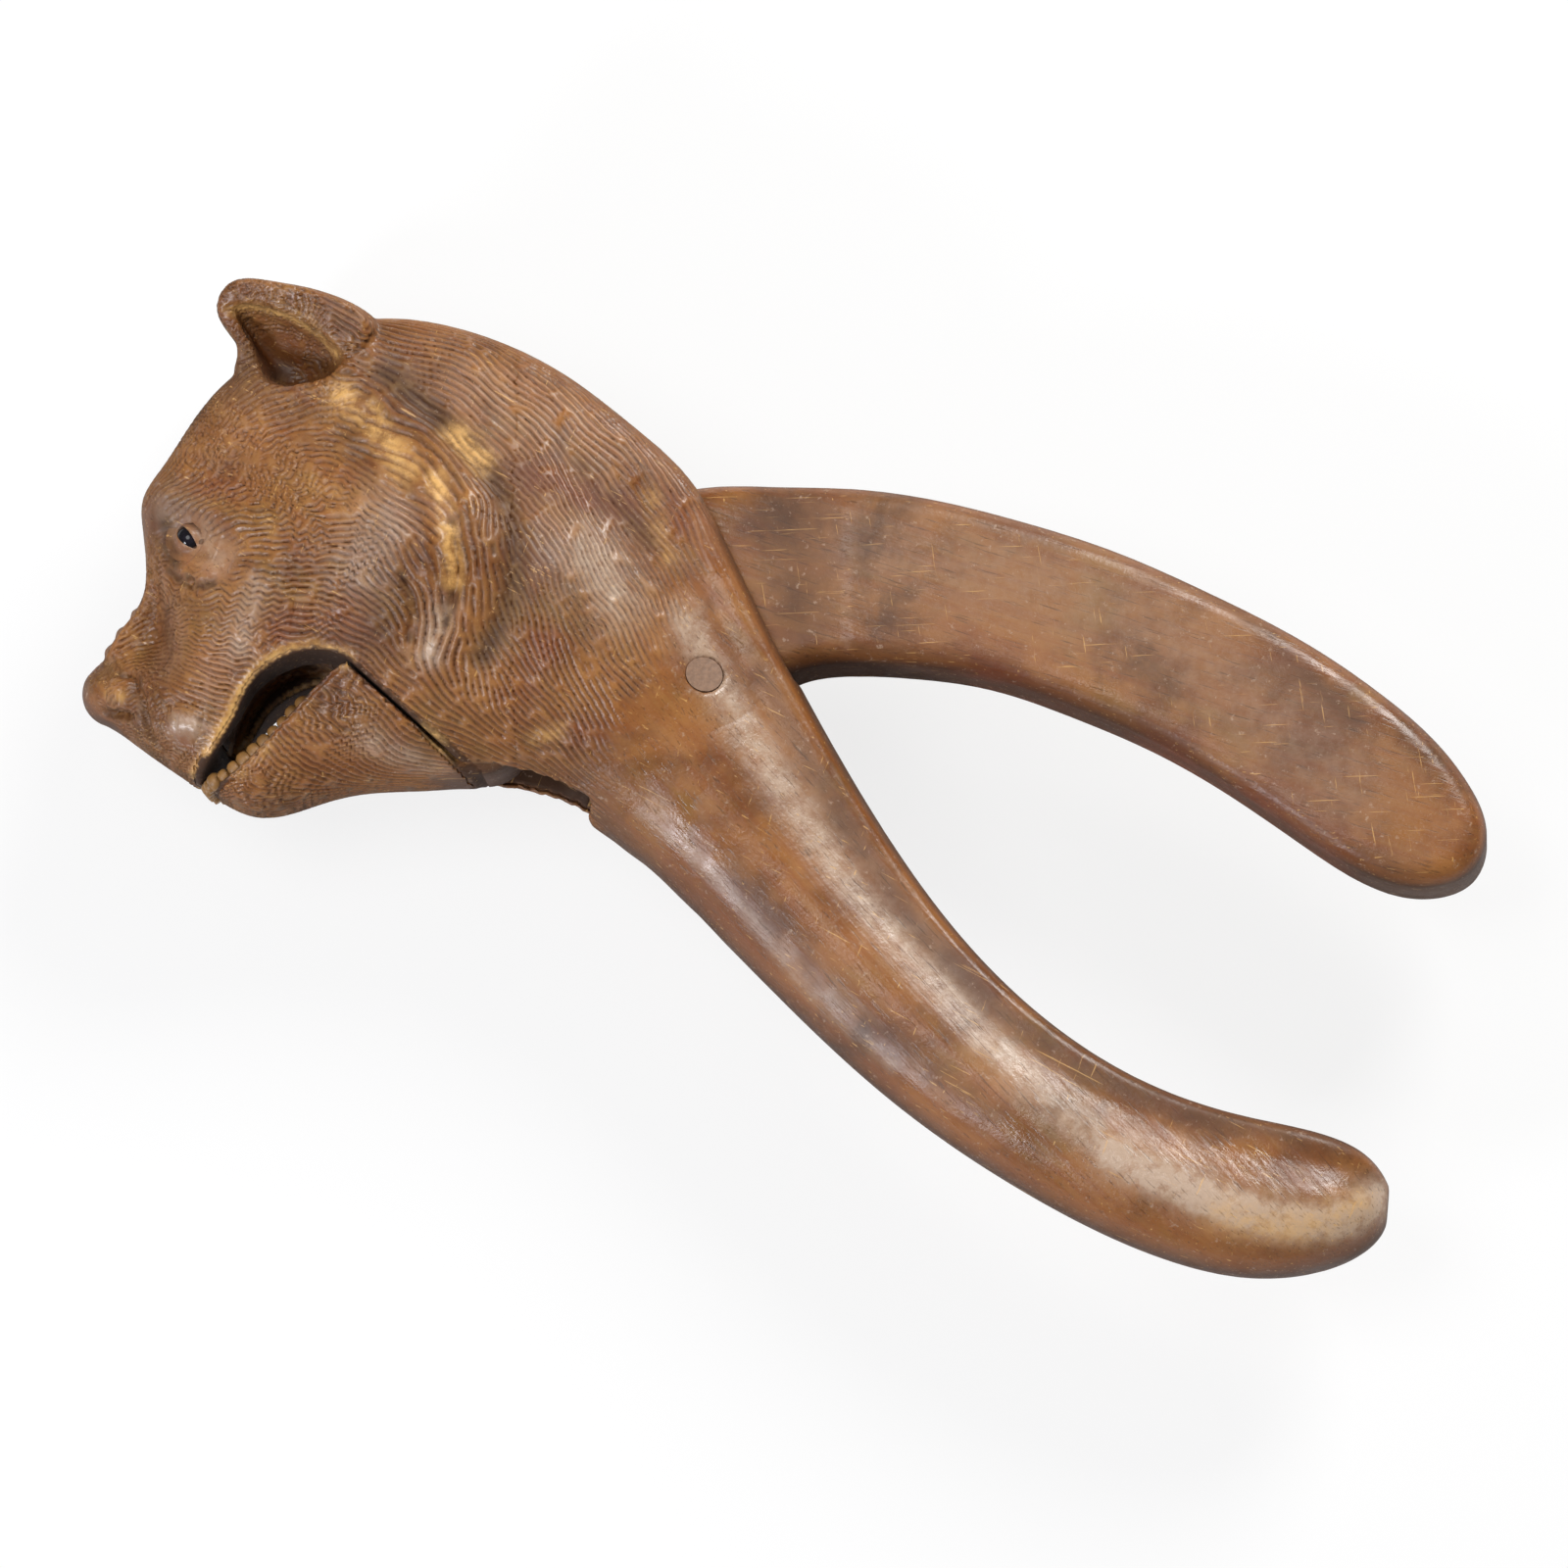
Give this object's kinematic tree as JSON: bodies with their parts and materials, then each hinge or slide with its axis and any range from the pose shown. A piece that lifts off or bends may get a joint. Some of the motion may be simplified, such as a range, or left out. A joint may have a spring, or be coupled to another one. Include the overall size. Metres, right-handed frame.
{
  "type": "carved bear nutcracker",
  "caption": "Carved wooden bear's-head nutcracker: two crossed levers on a hidden pin, the lower jaw closing as the handles are squeezed.",
  "frame": {"origin": "middle of the footprint, at the lowest point of the right cheek, with the nutcracker lying on its right side", "axes": "+X from the nose to the handle ends, +Y towards the crown, +Z out of the left cheek; the hinge axis is along Z and the profile plane is level"},
  "size_m": [0.201, 0.1416, 0.0501],
  "materials": {
    "carved_walnut": "stained and varnished, satin, worn pale on the edges",
    "lever_walnut": "stained and varnished, satin, smooth",
    "pin_steel": "drawn rod, dull",
    "plug_wood": "end grain, stained",
    "eye_glass": "opaque black glass, polished",
    "stem_wire": "drawn wire"
  },
  "bodies": {
    "head": {"head_lever": "carved_walnut", "hinge_pin": "pin_steel", "plug_left": "plug_wood", "plug_right": "plug_wood", "eye_wire_left": "stem_wire", "eye_wire_right": "stem_wire", "eye_left": "eye_glass", "eye_right": "eye_glass"},
    "jaw": {"jaw_lever": "lever_walnut"}
  },
  "joints": [
    {"name": "jaw_hinge", "type": "hinge", "parent": "head", "child": "jaw", "pos_m": [-0.00998, 0.01349, 0.02505], "axis": [0, 0, 1], "range_deg": [0, 25]}
  ]
}
